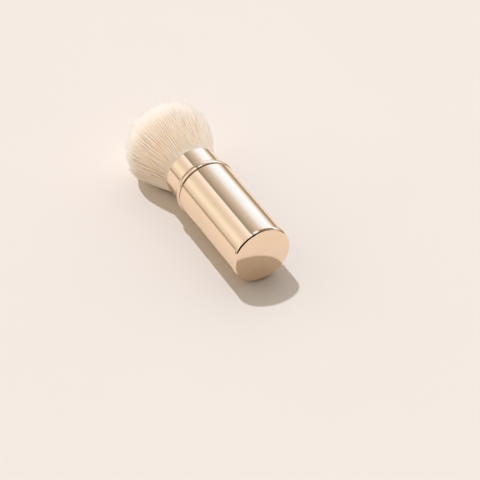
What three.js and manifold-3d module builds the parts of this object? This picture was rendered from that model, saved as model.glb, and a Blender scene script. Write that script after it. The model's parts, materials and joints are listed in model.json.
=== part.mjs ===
// Retractable makeup brush, lying on its side with the hair out.
//
// Units are millimetres, +Z is up and the floor is Z = 0. The brush axis runs
// along +X, from the flat base to the tip of the hair, at the height of the
// collar's radius, so the collar and the pressed side of the hair rest on the
// floor. The origin is on the floor, under the middle of the length.
//
// Stations S are distances along the axis from the outer face of the base.
// The sleeve (guide tube, tail ring, O-ring, collar and neck) slides along +X
// over the hair; everything else stays with the barrel.

import * as THREE from 'three';
import { mergeVertices } from 'three/addons/utils/BufferGeometryUtils.js';
import Module from 'manifold-3d';

// ---------------------------------------------------------------- sizes

const SEGMENTS = 48;            // facets round every turned piece, all in phase

const TOTAL_LENGTH = 106.0;     // base face to hair tip
const AXIS_HEIGHT = 15.4;       // collar radius: the collar touches the floor
const SLEEVE_TRAVEL = 37.0;     // the neck rim then reaches past the hair tip

const BARREL_R = 15.0;          // 30 mm barrel
const BARREL_BORE_R = 14.4;
const BARREL_LENGTH = 55.55;
const BARREL_FLOOR = 0.8;
const BASE_EDGE = 0.5;          // small rounded edge round the base disc
const RIM_EDGE = 0.3;           // rolled edge at the mouth

const LINER_R = 14.3;
const LINER_BORE_R = 13.5;
const LINER_START = 1.1;
const LINER_END = 54.25;
const LINER_FLOOR = [7.0, 8.6]; // web that carries the brush holder
const SCREW_HOLE_R = 1.6;

const WEIGHT = { from: 1.2, to: 4.6, r: 13.2, hole: 5.0 };

const BUSH_R = 13.4;            // pressed into the liner
const BUSH_BORE_R = 12.6;
const BUSH_START = 51.8;
const BUSH_FLANGE_R = 14.2;
const BUSH_FLANGE = [54.4, 55.2];
const KEY_TIP_R = 12.25;        // two keys stop the sleeve from turning
const KEY_WIDTH = 1.6;

const HOLDER_FOOT = { from: 8.75, to: 10.3, r: 8.0 };
const HOLDER_SHAFT_R = 5.0;
const HOLDER_PILOT_R = 1.4;
const HOLDER_PILOT_END = 21.0;
const HOLDER_CUP = { floor: 45.6, seat: 47.2, end: 57.0, r: 11.4, bore: 11.0 };

const SCREW = { headFrom: 4.9, headTo: 6.4, headR: 3.0, shankR: 1.25, tip: 20.0 };
const WASHER = { from: 6.5, to: 6.9, r: 4.2, hole: 1.6 };

const FERRULE = { from: 47.5, seat: 48.1, rim: 62.0, r: 10.85, bore: 10.4, lipR: 11.3 };
const GLUE = { from: 48.3, to: 53.9, r: 10.2 };

const TUBE_R = 12.5;            // guide tube of the sliding sleeve
const TUBE_BORE_R = 11.6;
const TUBE_START = 10.2;
const TUBE_TAIL_R = 12.0;
const TUBE_TAIL_END = 14.6;
const TUBE_HEAD_START = 57.0;
const TUBE_HEAD_R = 13.3;
const TUBE_HEAD_BORE_R = 12.6;
const TUBE_END = 70.4;
const KEYWAY_R = 12.15;
const KEYWAY_WIDTH = 2.0;
const KEYWAY = [13.5, 56.2];

const TAIL_RING = { from: 10.0, to: 14.5, r: 13.3, bore: 12.1 };
const O_GROOVE = { from: 11.5, to: 12.9, r: 12.5 };
const O_RING = { at: 12.2, major: 13.0, minor: 0.42 };

const COLLAR = { from: 55.8, to: 59.4, r: 15.4, bore: 13.4 };

const NECK_R = 13.9;
const NECK_BORE_R = 13.4;
const NECK_START = 59.6;
const NECK_END = 71.0;
const NECK_LIP_R = 12.7;        // rim turned in over the guide tube's end

// Hair: station and radius of the dense head, up to its widest place
const HAIR_PROFILE = [
	[ 54.2, 10.2 ], [ 58.0, 10.2 ], [ 61.8, 10.3 ], [ 64.5, 10.9 ], [ 68.0, 11.7 ],
	[ 70.9, 12.35 ], [ 71.8, 13.5 ], [ 73.2, 14.4 ], [ 75.0, 15.2 ], [ 77.5, 16.3 ],
	[ 80.0, 17.35 ], [ 82.5, 18.4 ], [ 85.0, 19.4 ], [ 87.5, 20.4 ], [ 89.5, 21.1 ]
];
const HAIR_WIDEST = { at: 91.3, r: 21.4 };
const HAIR_DOME_POWER = 3.4;    // fuller shoulders than an ellipse
const HAIR_DOME_STEPS = [ 0.13, 0.27, 0.41, 0.55, 0.68, 0.79, 0.87, 0.93, 0.97, 0.99 ];
const HAIR_LIFT = 1.7;          // the floor pushes the head up by this much
const HAIR_LIFT_FROM = 71.0;
const HAIR_LIFT_LENGTH = 5.0;
const HAIR_SPLAY = { side: 0.14, front: 2.4, depth: 7.0 };  // and spreads it where it lies

// ---------------------------------------------------------------- materials

const polishedGold = ( name ) => new THREE.MeshStandardMaterial( { name, color: 0xe2c49c, roughness: 0.12, metalness: 1.0 } );
const satinGold = ( name ) => new THREE.MeshStandardMaterial( { name, color: 0xd8bd97, roughness: 0.32, metalness: 1.0 } );
const bareAluminium = ( name ) => new THREE.MeshStandardMaterial( { name, color: 0xcfd0d2, roughness: 0.38, metalness: 1.0 } );
const ivoryPlastic = ( name ) => new THREE.MeshStandardMaterial( { name, color: 0xe9e1d3, roughness: 0.5, metalness: 0.0 } );
const greyPlastic = ( name ) => new THREE.MeshStandardMaterial( { name, color: 0x9d9a95, roughness: 0.5, metalness: 0.0 } );
const zincSteel = ( name ) => new THREE.MeshStandardMaterial( { name, color: 0xb4b5b6, roughness: 0.35, metalness: 1.0 } );
const silicone = ( name ) => new THREE.MeshStandardMaterial( { name, color: 0x55504b, roughness: 0.7, metalness: 0.0 } );
const amberGlue = ( name ) => new THREE.MeshStandardMaterial( { name, color: 0xc79a55, roughness: 0.3, metalness: 0.0 } );
const creamHair = ( name ) => new THREE.MeshStandardMaterial( { name, color: 0xf3e2ca, roughness: 0.9, metalness: 0.0 } );

// ---------------------------------------------------------------- helpers

const wasm = await Module();
wasm.setup();

// A closed profile of [ radius, station ] points, turned round the local Y axis.
function turned( points ) {

	const outline = points.map( ( [ r, s ] ) => new THREE.Vector2( r, s ) );
	const first = points[ 0 ];
	const last = points[ points.length - 1 ];
	const onAxis = first[ 0 ] === 0 && last[ 0 ] === 0;
	if ( ! onAxis ) outline.push( new THREE.Vector2( first[ 0 ], first[ 1 ] ) );
	return new THREE.LatheGeometry( outline, SEGMENTS );

}

function bare( geometry ) {

	const g = geometry.clone();
	g.deleteAttribute( 'normal' );
	g.deleteAttribute( 'uv' );
	return mergeVertices( g, 1e-4 );

}

// Drops the triangles that collapse where a profile point lies on the axis.
function clean( geometry ) {

	const g = bare( geometry );
	const index = g.index.array;
	const kept = [];
	for ( let i = 0; i < index.length; i += 3 ) {

		const [ a, b, c ] = [ index[ i ], index[ i + 1 ], index[ i + 2 ] ];
		if ( a !== b && b !== c && c !== a ) kept.push( a, b, c );

	}

	g.setIndex( kept );
	return g;

}

function toSolid( geometry ) {

	const g = clean( geometry );
	const mesh = new wasm.Mesh( {
		numProp: 3,
		vertProperties: new Float32Array( g.attributes.position.array ),
		triVerts: new Uint32Array( g.index.array )
	} );
	return new wasm.Manifold( mesh );

}

function fromSolid( solid ) {

	const mesh = solid.getMesh();
	const g = new THREE.BufferGeometry();
	g.setAttribute( 'position', new THREE.BufferAttribute( new Float32Array( mesh.vertProperties ), 3 ) );
	g.setIndex( new THREE.BufferAttribute( new Uint32Array( mesh.triVerts ), 1 ) );
	g.computeVertexNormals();
	return g;

}

function box( from, to ) {

	const g = new THREE.BoxGeometry( to[ 0 ] - from[ 0 ], to[ 1 ] - from[ 1 ], to[ 2 ] - from[ 2 ] );
	g.translate( ( from[ 0 ] + to[ 0 ] ) / 2, ( from[ 1 ] + to[ 1 ] ) / 2, ( from[ 2 ] + to[ 2 ] ) / 2 );
	return g;

}

// Points of a quarter-round edge from angle a to b about ( r, s ).
function arc( r, s, radius, a, b, steps ) {

	const points = [];
	for ( let i = 0; i <= steps; i ++ ) {

		const t = a + ( b - a ) * i / steps;
		points.push( [ r + radius * Math.cos( t ), s + radius * Math.sin( t ) ] );

	}

	return points;

}

const HALF_PI = Math.PI / 2;

// Local frame of the brush: Y is the axis, from the base to the hair.
const axisFrame = new THREE.Group();
axisFrame.rotation.z = - HALF_PI;
axisFrame.position.set( - TOTAL_LENGTH / 2, 0, AXIS_HEIGHT );

function add( parent, name, geometry, material ) {

	const mesh = new THREE.Mesh( geometry, material( name ) );
	mesh.name = name;
	parent.add( mesh );
	return mesh;

}

// ---------------------------------------------------------------- barrel side

const handle = new THREE.Group();
axisFrame.add( handle );

// Drawn metal cup: base disc, wall and a rolled mouth
add( handle, 'barrel_shell', turned( [
	[ 0, 0 ],
	...arc( BARREL_R - BASE_EDGE, BASE_EDGE, BASE_EDGE, - HALF_PI, 0, 3 ),
	...arc( BARREL_R - RIM_EDGE, BARREL_LENGTH - RIM_EDGE, RIM_EDGE, 0, HALF_PI, 2 ),
	[ BARREL_BORE_R, BARREL_LENGTH ],
	[ BARREL_BORE_R, BARREL_FLOOR ],
	[ 0, BARREL_FLOOR ]
] ), polishedGold );

// Plastic liner: bore for the sleeve, web for the holder, pocket for the weight
add( handle, 'barrel_liner', turned( [
	[ WEIGHT.r + 0.1, LINER_START ],
	[ LINER_R, LINER_START ],
	[ LINER_R, LINER_END ],
	[ LINER_BORE_R, LINER_END ],
	[ LINER_BORE_R, LINER_FLOOR[ 1 ] ],
	[ SCREW_HOLE_R, LINER_FLOOR[ 1 ] ],
	[ SCREW_HOLE_R, LINER_FLOOR[ 0 ] ],
	[ WEIGHT.r + 0.1, LINER_FLOOR[ 0 ] ]
] ), ivoryPlastic );

// Steel ring in the pocket behind the web
add( handle, 'base_weight', turned( [
	[ WEIGHT.hole, WEIGHT.from ],
	[ WEIGHT.r, WEIGHT.from ],
	[ WEIGHT.r, WEIGHT.to ],
	[ WEIGHT.hole, WEIGHT.to ]
] ), zincSteel );

// Mouth bushing: guides the tube, stops the tail ring, carries two keys
{

	const ring = toSolid( turned( [
		[ BUSH_BORE_R, BUSH_START ],
		[ BUSH_R, BUSH_START ],
		[ BUSH_R, BUSH_FLANGE[ 0 ] ],
		[ BUSH_FLANGE_R, BUSH_FLANGE[ 0 ] ],
		[ BUSH_FLANGE_R, BUSH_FLANGE[ 1 ] ],
		[ BUSH_BORE_R, BUSH_FLANGE[ 1 ] ]
	] ) );
	const outer = BUSH_BORE_R + 0.4;
	const half = KEY_WIDTH / 2;
	const left = toSolid( box( [ KEY_TIP_R, BUSH_START, - half ], [ outer, BUSH_FLANGE[ 1 ], half ] ) );
	const right = toSolid( box( [ - outer, BUSH_START, - half ], [ - KEY_TIP_R, BUSH_FLANGE[ 1 ], half ] ) );
	add( handle, 'mouth_bushing', fromSolid( ring.add( left ).add( right ) ), ivoryPlastic );

}

// Holder: foot on the web, shaft, cup for the ferrule
add( handle, 'brush_holder', turned( [
	[ 0, HOLDER_PILOT_END ],
	[ HOLDER_PILOT_R, HOLDER_PILOT_END ],
	[ HOLDER_PILOT_R, HOLDER_FOOT.from ],
	[ HOLDER_FOOT.r, HOLDER_FOOT.from ],
	[ HOLDER_FOOT.r, HOLDER_FOOT.to ],
	[ HOLDER_SHAFT_R, HOLDER_FOOT.to + 1.5 ],
	[ HOLDER_SHAFT_R, HOLDER_CUP.floor - 4.0 ],
	[ HOLDER_CUP.r, HOLDER_CUP.floor ],
	[ HOLDER_CUP.r, HOLDER_CUP.end ],
	[ HOLDER_CUP.bore, HOLDER_CUP.end ],
	[ HOLDER_CUP.bore, HOLDER_CUP.seat ],
	[ 0, HOLDER_CUP.seat ]
] ), ivoryPlastic );

// Screw from behind the web, with a driving slot across its head
{

	const body = toSolid( turned( [
		[ 0, SCREW.headFrom ],
		[ SCREW.headR - 0.4, SCREW.headFrom ],
		[ SCREW.headR, SCREW.headFrom + 0.5 ],
		[ SCREW.headR, SCREW.headTo ],
		[ SCREW.shankR, SCREW.headTo ],
		[ SCREW.shankR, SCREW.tip - 1.2 ],
		[ 0, SCREW.tip ]
	] ) );
	const slot = toSolid( box( [ - 4, SCREW.headFrom - 1, - 0.35 ], [ 4, SCREW.headFrom + 0.7, 0.35 ] ) );
	add( handle, 'holder_screw', fromSolid( body.subtract( slot ) ), zincSteel );

}

add( handle, 'screw_washer', turned( [
	[ WASHER.hole, WASHER.from ],
	[ WASHER.r, WASHER.from ],
	[ WASHER.r, WASHER.to ],
	[ WASHER.hole, WASHER.to ]
] ), zincSteel );

// Aluminium ferrule with a small lip at its rim
add( handle, 'ferrule', turned( [
	[ 0, FERRULE.from ],
	[ FERRULE.r, FERRULE.from ],
	[ FERRULE.r, FERRULE.rim - 1.2 ],
	[ FERRULE.lipR, FERRULE.rim - 0.8 ],
	[ FERRULE.lipR, FERRULE.rim ],
	[ FERRULE.bore, FERRULE.rim ],
	[ FERRULE.bore, FERRULE.seat ],
	[ 0, FERRULE.seat ]
] ), bareAluminium );

add( handle, 'glue_plug', turned( [
	[ 0, GLUE.from ],
	[ GLUE.r, GLUE.from ],
	[ GLUE.r, GLUE.to ],
	[ 0, GLUE.to ]
] ), amberGlue );

// Hair: a domed head that spreads over the neck rim, flat where it lies on
// the floor
{

	const { at, r } = HAIR_WIDEST;
	const dome = HAIR_DOME_STEPS.map( ( u ) => [
		at + u * ( TOTAL_LENGTH - at ),
		r * Math.pow( 1 - Math.pow( u, HAIR_DOME_POWER ), 1 / HAIR_DOME_POWER )
	] );
	const side = [ ...HAIR_PROFILE, [ at, r ], ...dome, [ TOTAL_LENGTH, 0 ] ];
	const g = turned( [ [ 0, side[ 0 ][ 0 ] ], ...side.map( ( [ s, radius ] ) => [ radius, s ] ) ] );
	const p = g.attributes.position;
	for ( let i = 0; i < p.count; i ++ ) {

		// Local X is across the brush, Y along it and Z up from its axis
		const along = Math.max( 0, p.getY( i ) - HAIR_LIFT_FROM );
		const k = 1 - Math.exp( - along / HAIR_LIFT_LENGTH );
		const height = Math.max( 0, AXIS_HEIGHT + p.getZ( i ) + HAIR_LIFT * k );
		const near = k * Math.exp( - Math.pow( height / HAIR_SPLAY.depth, 2 ) );
		p.setX( i, p.getX( i ) * ( 1 + HAIR_SPLAY.side * near ) );
		p.setY( i, p.getY( i ) + HAIR_SPLAY.front * near * along / ( TOTAL_LENGTH - HAIR_LIFT_FROM ) );
		p.setZ( i, height - AXIS_HEIGHT );

	}

	g.computeVertexNormals();
	add( handle, 'bristle_head', g, creamHair );

}

// ---------------------------------------------------------------- sleeve side

const sleeve = new THREE.Group();
axisFrame.add( sleeve );

// Guide tube: tail for the ring, keyways, wide head for the collar and neck
{

	const tube = toSolid( turned( [
		[ TUBE_BORE_R, TUBE_START ],
		[ TUBE_TAIL_R, TUBE_START ],
		[ TUBE_TAIL_R, TUBE_TAIL_END ],
		[ TUBE_R, TUBE_TAIL_END ],
		[ TUBE_R, TUBE_HEAD_START - 0.6 ],
		[ TUBE_HEAD_R, TUBE_HEAD_START ],
		[ TUBE_HEAD_R, TUBE_END ],
		[ TUBE_HEAD_BORE_R, TUBE_END ],
		[ TUBE_HEAD_BORE_R, TUBE_HEAD_START + 1.0 ],
		[ TUBE_BORE_R, TUBE_HEAD_START - 0.4 ]
	] ) );
	const half = KEYWAY_WIDTH / 2;
	const left = toSolid( box( [ KEYWAY_R, KEYWAY[ 0 ], - half ], [ TUBE_HEAD_R + 2, KEYWAY[ 1 ], half ] ) );
	const right = toSolid( box( [ - TUBE_HEAD_R - 2, KEYWAY[ 0 ], - half ], [ - KEYWAY_R, KEYWAY[ 1 ], half ] ) );
	add( sleeve, 'guide_tube', fromSolid( tube.subtract( left ).subtract( right ) ), satinGold );

}

// Ring on the tail of the tube, with the O-ring's groove
add( sleeve, 'tail_ring', turned( [
	[ TAIL_RING.bore, TAIL_RING.from ],
	[ TAIL_RING.r - 0.3, TAIL_RING.from ],
	[ TAIL_RING.r, TAIL_RING.from + 0.3 ],
	[ TAIL_RING.r, O_GROOVE.from ],
	[ O_GROOVE.r, O_GROOVE.from ],
	[ O_GROOVE.r, O_GROOVE.to ],
	[ TAIL_RING.r, O_GROOVE.to ],
	[ TAIL_RING.r, TAIL_RING.to ],
	[ TAIL_RING.bore, TAIL_RING.to ]
] ), greyPlastic );

// Silicone ring that drags on the liner's bore
add( sleeve, 'friction_o_ring', turned(
	arc( O_RING.major, O_RING.at, O_RING.minor, 0, 2 * Math.PI, 8 ).slice( 0, 8 )
), silicone );

// Rounded bead that butts on the barrel's mouth
{

	const mid = ( COLLAR.from + COLLAR.to ) / 2;
	const bulge = [];
	const rise = 0.75;
	for ( let i = 0; i <= 8; i ++ ) {

		const t = - HALF_PI + Math.PI * i / 8;
		bulge.push( [ COLLAR.r - rise + rise * Math.cos( t ), mid + ( COLLAR.to - COLLAR.from ) / 2 * Math.sin( t ) ] );

	}

	add( sleeve, 'collar_ring', turned( [
		[ COLLAR.bore, COLLAR.from ],
		...bulge,
		[ COLLAR.bore, COLLAR.to ]
	] ), polishedGold );

}

// Neck: thin drawn tube with its rim turned in
add( sleeve, 'neck_shell', turned( [
	[ NECK_BORE_R, NECK_START ],
	[ NECK_R, NECK_START ],
	...arc( NECK_R - 0.45, NECK_END - 0.45, 0.45, 0, HALF_PI, 3 ),
	[ NECK_LIP_R, NECK_END ],
	[ NECK_LIP_R, TUBE_END + 0.2 ],
	[ NECK_BORE_R, TUBE_END + 0.2 ]
] ), polishedGold );

const brush = new THREE.Group();
brush.add( axisFrame );

export default brush;
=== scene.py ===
import json
import math

import bpy
import numpy as np
from mathutils import Matrix, Vector


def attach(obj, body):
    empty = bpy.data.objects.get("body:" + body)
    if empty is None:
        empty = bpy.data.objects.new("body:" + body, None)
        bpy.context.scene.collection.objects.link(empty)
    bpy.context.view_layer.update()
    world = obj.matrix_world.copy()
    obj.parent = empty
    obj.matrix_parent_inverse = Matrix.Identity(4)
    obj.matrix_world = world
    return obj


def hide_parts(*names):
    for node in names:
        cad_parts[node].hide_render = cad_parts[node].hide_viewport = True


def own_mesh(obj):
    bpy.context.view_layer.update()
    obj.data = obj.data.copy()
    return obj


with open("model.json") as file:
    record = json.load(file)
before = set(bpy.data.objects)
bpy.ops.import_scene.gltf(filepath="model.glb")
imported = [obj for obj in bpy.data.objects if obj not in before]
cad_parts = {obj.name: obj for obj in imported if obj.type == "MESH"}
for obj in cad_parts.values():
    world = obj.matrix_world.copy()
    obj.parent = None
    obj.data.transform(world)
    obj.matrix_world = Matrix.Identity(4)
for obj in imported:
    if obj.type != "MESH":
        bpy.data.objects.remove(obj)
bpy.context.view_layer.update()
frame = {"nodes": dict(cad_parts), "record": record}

MM = 0.001
ORIGIN_STATION = 53.0
AXIS_Z = 15.4
TOTAL = 106.0

scene = bpy.context.scene


# ---------------------------------------------------------------- node helpers


class Tree:
    """A material's or world's node tree, emptied, with short calls to fill it."""

    def __init__(self, owner):
        owner.use_nodes = True
        self.tree = owner.node_tree
        self.tree.nodes.clear()

    def node(self, kind, **values):
        n = self.tree.nodes.new(kind)
        for key, value in values.items():
            setattr(n, key, value)
        return n

    def link(self, a, b):
        self.tree.links.new(a, b)

    def feed(self, socket, value):
        if isinstance(value, bpy.types.NodeSocket):
            self.link(value, socket)
        else:
            socket.default_value = value

    def math(self, operation, a, b=0.0, c=None, clamp=False):
        n = self.node("ShaderNodeMath", operation=operation, use_clamp=clamp)
        self.feed(n.inputs[0], a)
        self.feed(n.inputs[1], b)
        if c is not None:
            self.feed(n.inputs[2], c)
        return n.outputs[0]

    def span(self, value, low, high, to_low=0.0, to_high=1.0, smooth=False):
        n = self.node("ShaderNodeMapRange", interpolation_type="SMOOTHSTEP" if smooth else "LINEAR")
        self.feed(n.inputs["Value"], value)
        n.inputs["From Min"].default_value = low
        n.inputs["From Max"].default_value = high
        n.inputs["To Min"].default_value = to_low
        n.inputs["To Max"].default_value = to_high
        return n.outputs["Result"]

    def ramp(self, value, stops, interpolation="LINEAR"):
        n = self.node("ShaderNodeValToRGB")
        ramp = n.color_ramp
        ramp.interpolation = interpolation
        while len(ramp.elements) > 1:
            ramp.elements.remove(ramp.elements[-1])
        for i, (at, colour) in enumerate(stops):
            e = ramp.elements[0] if i == 0 else ramp.elements.new(at)
            e.position = at
            e.color = (*colour, 1.0) if hasattr(colour, "__len__") else (colour, colour, colour, 1.0)
        self.feed(n.inputs["Fac"], value)
        return n.outputs["Color"]

    def mix(self, factor, a, b, blend="MIX"):
        n = self.node("ShaderNodeMix", data_type="RGBA", blend_type=blend)
        self.feed(n.inputs["Factor"], factor)
        for socket, value in ((n.inputs["A"], a), (n.inputs["B"], b)):
            pass
        a_socket = [s for s in n.inputs if s.name == "A" and s.type == "RGBA"][0]
        b_socket = [s for s in n.inputs if s.name == "B" and s.type == "RGBA"][0]
        for socket, value in ((a_socket, a), (b_socket, b)):
            if isinstance(value, bpy.types.NodeSocket):
                self.link(value, socket)
            else:
                socket.default_value = (*value, 1.0)
        return [s for s in n.outputs if s.type == "RGBA"][0]

    def noise(self, vector, scale, detail=2.0, rough=0.5, distortion=0.0, dims="3D"):
        n = self.node("ShaderNodeTexNoise", noise_dimensions=dims)
        if vector is not None:
            self.link(vector, n.inputs["Vector"])
        n.inputs["Scale"].default_value = scale
        n.inputs["Detail"].default_value = detail
        n.inputs["Roughness"].default_value = rough
        n.inputs["Distortion"].default_value = distortion
        return n.outputs["Fac"]

    def stretched(self, scale, source="Object"):
        coords = self.node("ShaderNodeTexCoord")
        mapping = self.node("ShaderNodeMapping")
        mapping.inputs["Scale"].default_value = scale
        self.link(coords.outputs[source], mapping.inputs["Vector"])
        return mapping.outputs["Vector"]

    def bump(self, height, strength, distance):
        n = self.node("ShaderNodeBump")
        n.inputs["Strength"].default_value = strength
        n.inputs["Distance"].default_value = distance
        self.link(height, n.inputs["Height"])
        return n.outputs["Normal"]

    def principled(self, **sockets):
        shader = self.node("ShaderNodeBsdfPrincipled")
        for name, value in sockets.items():
            socket = shader.inputs[name.replace("_", " ")]
            if isinstance(value, bpy.types.NodeSocket):
                self.link(value, socket)
            elif socket.type == "RGBA":
                socket.default_value = (*value, 1.0)
            else:
                socket.default_value = value
        out = self.node("ShaderNodeOutputMaterial")
        self.link(shader.outputs["BSDF"], out.inputs["Surface"])
        return shader


def polished_gold():
    """Mirror-polished champagne gold: faint drawing lines along the tube, a few handling marks."""
    m = bpy.data.materials.new("polished_gold")
    t = Tree(m)
    fine = t.noise(t.stretched((25, 2600, 2600)), 1.0, 3.0, 0.6)
    cloud = t.noise(t.stretched((90, 90, 90)), 1.0, 3.0, 0.55)
    tint = t.mix(t.span(cloud, 0.3, 0.7), (0.948, 0.748, 0.556), (0.968, 0.768, 0.576))
    tint = t.mix(t.span(fine, 0.35, 0.75, 0.0, 0.12), tint, (0.915, 0.705, 0.515))
    smudge = t.span(t.noise(t.stretched((160, 260, 260)), 1.0, 4.0, 0.6, 0.4), 0.45, 0.75, 0.0, 0.02)
    rough = t.math("ADD", t.span(fine, 0.2, 0.8, 0.045, 0.065), smudge)
    t.principled(
        Base_Color=tint,
        Metallic=1.0,
        Roughness=rough,
        Normal=t.bump(fine, 0.03, 0.00001),
    )
    return m


def satin_gold():
    """Satin gold of the sliding tube: short lines round it from the blasting and anodising."""
    m = bpy.data.materials.new("satin_gold")
    t = Tree(m)
    grain = t.noise(t.stretched((5200, 900, 900)), 1.0, 4.0, 0.65)
    cloud = t.noise(t.stretched((110, 110, 110)), 1.0, 3.0, 0.5)
    tint = t.mix(t.span(cloud, 0.3, 0.7), (0.72, 0.545, 0.375), (0.78, 0.600, 0.425))
    tint = t.mix(t.span(grain, 0.35, 0.7, 0.0, 0.3), tint, (0.60, 0.445, 0.30))
    t.principled(
        Base_Color=tint,
        Metallic=1.0,
        Roughness=t.span(grain, 0.2, 0.8, 0.24, 0.36),
        Normal=t.bump(grain, 0.12, 0.00002),
    )
    return m


def turned_metal(name, low, high, rough, lines=(4200, 300, 300)):
    """Bare metal with tool lines round it."""
    m = bpy.data.materials.new(name)
    t = Tree(m)
    line = t.noise(t.stretched(lines), 1.0, 4.0, 0.6)
    cloud = t.noise(t.stretched((130, 130, 130)), 1.0, 3.0, 0.5)
    tint = t.mix(t.span(line, 0.3, 0.7), low, high)
    tint = t.mix(t.span(cloud, 0.45, 0.75, 0.0, 0.35), tint, tuple(0.86 * x for x in low))
    t.principled(
        Base_Color=tint,
        Metallic=1.0,
        Roughness=t.span(line, 0.2, 0.8, rough - 0.06, rough + 0.06),
        Normal=t.bump(line, 0.2, 0.00003),
    )
    return m


def moulded(name, low, high, rough, specular=0.5):
    """Moulded plastic or rubber: fine eroded skin, faint flow marks."""
    m = bpy.data.materials.new(name)
    t = Tree(m)
    grain = t.noise(t.stretched((2600, 2600, 2600)), 1.0, 3.0, 0.6)
    flow = t.noise(t.stretched((60, 220, 220)), 1.0, 4.0, 0.55, 0.6)
    tint = t.mix(t.span(flow, 0.3, 0.7), low, high)
    t.principled(
        Base_Color=tint,
        Metallic=0.0,
        Roughness=t.span(grain, 0.2, 0.8, rough - 0.05, rough + 0.05),
        Specular_IOR_Level=specular,
        Normal=t.bump(grain, 0.15, 0.00003),
    )
    return m


def resin():
    """Cured amber adhesive, glossy, with cloudy parts where it soaks the hair."""
    m = bpy.data.materials.new("hair_glue")
    t = Tree(m)
    cloud = t.noise(t.stretched((420, 420, 420)), 1.0, 4.0, 0.6, 0.5)
    tint = t.mix(t.span(cloud, 0.3, 0.7), (0.50, 0.27, 0.08), (0.66, 0.42, 0.17))
    t.principled(
        Base_Color=tint,
        Metallic=0.0,
        Roughness=0.18,
        Normal=t.bump(cloud, 0.2, 0.00006),
    )
    return m


def cream_hair():
    """Dense soft hair. U of the map holds a strand's tone, which carries painted light on the ridges of locks and
    painted shade in their grooves and on the core, and V how near a point is to its tip.
    """
    m = bpy.data.materials.new("cream_hair")
    t = Tree(m)
    coords = t.node("ShaderNodeUVMap", uv_map="OFBake")
    parts = t.node("ShaderNodeSeparateXYZ")
    t.link(coords.outputs["UV"], parts.inputs["Vector"])
    u, v = parts.outputs["X"], parts.outputs["Y"]
    # Paler towards the tips: the hair ends are lighter, with painted light added where the fine tips glow against the
    # light
    body = t.ramp(
        v,
        [
            (0.00, (0.950, 0.860, 0.755)),
            (0.35, (0.965, 0.860, 0.745)),
            (0.55, (0.965, 0.825, 0.675)),
            (0.70, (0.955, 0.770, 0.580)),
            (0.84, (0.955, 0.742, 0.538)),
            (0.91, (0.965, 0.790, 0.620)),
            (0.955, (0.988, 0.905, 0.820)),
            (1.00, (1.000, 0.980, 0.960)),
        ],
    )
    # Tone to colour: low tones are painted shade in the grooves between locks, high ones painted light on their ridges;
    # from 0.83 up it is the core's painted shade, as hair deep in shade
    shade = t.ramp(
        u,
        [
            (0.00, (0.685, 0.580, 0.465)),
            (0.20, (0.830, 0.760, 0.680)),
            (0.42, (0.948, 0.925, 0.895)),
            (0.60, (1.000, 1.000, 1.000)),
            (0.79, (1.000, 1.000, 1.000)),
            (0.83, (0.850, 0.785, 0.710)),
        ],
    )
    tint = t.mix(1.0, body, shade, "MULTIPLY")
    # Painted highlight: the lightest tones mix towards a pale pinkish white, as ridges catch the light
    light = t.math("MULTIPLY", t.span(u, 0.56, 0.77, 0.0, 0.6), t.span(u, 0.79, 0.80, 1.0, 0.0))
    tint = t.mix(light, tint, (1.000, 0.962, 0.938))
    t.principled(
        Base_Color=tint,
        Metallic=0.0,
        Roughness=0.55,
        Specular_IOR_Level=0.3,
        Sheen_Weight=0.60,
        Sheen_Roughness=0.45,
        Sheen_Tint=(1.0, 0.97, 0.92),
    )
    return m


MATERIAL = {
    "polished_gold": polished_gold(),
    "satin_gold": satin_gold(),
    "ferrule_aluminium": turned_metal("ferrule_aluminium", (0.62, 0.62, 0.63), (0.74, 0.74, 0.75), 0.34),
    "liner_plastic": moulded("liner_plastic", (0.058, 0.034, 0.020), (0.078, 0.048, 0.029), 0.50, 0.3),
    "ring_plastic": moulded("ring_plastic", (0.30, 0.29, 0.275), (0.38, 0.365, 0.345), 0.46),
    "zinc_steel": turned_metal("zinc_steel", (0.46, 0.47, 0.49), (0.58, 0.58, 0.59), 0.36, (300, 2200, 2200)),
    "silicone": moulded("silicone", (0.075, 0.070, 0.066), (0.105, 0.098, 0.090), 0.62, 0.35),
    "hair_glue": resin(),
    "cream_hair": cream_hair(),
}


# ---------------------------------------------------------------- mesh helpers


def build_mesh(name, points_mm, quads, tris, material, uv=None, normals=None):
    """One mesh object from arrays: points in CAD millimetres, faces as vertex numbers, uv per corner in the order quads, tris, and a normal per point if it isn't to come from the faces."""
    me = bpy.data.meshes.new(name)
    quads = np.asarray(quads, np.int32).reshape(-1, 4)
    tris = np.asarray(tris, np.int32).reshape(-1, 3)
    corner = np.concatenate([quads.ravel(), tris.ravel()])
    start = np.concatenate([np.arange(len(quads)) * 4, len(quads) * 4 + np.arange(len(tris)) * 3])
    me.vertices.add(len(points_mm))
    me.vertices.foreach_set("co", (np.asarray(points_mm) * MM).astype(np.float32).ravel())
    me.loops.add(len(corner))
    me.loops.foreach_set("vertex_index", corner.astype(np.int32))
    me.polygons.add(len(start))
    me.polygons.foreach_set("loop_start", start.astype(np.int32))
    if uv is not None:
        layer = me.uv_layers.new(name="OFBake", do_init=False)
        layer.uv.foreach_set("vector", np.asarray(uv, np.float32).ravel())
    if normals is not None:
        held = me.attributes.new("custom_normal", "FLOAT_VECTOR", "POINT")
        held.data.foreach_set("vector", np.asarray(normals, np.float32).ravel())
    me.polygons.foreach_set("use_smooth", np.ones(len(start), bool))
    me.update(calc_edges=True)
    me.materials.append(material)
    ob = bpy.data.objects.new(name, me)
    scene.collection.objects.link(ob)
    return ob


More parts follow.
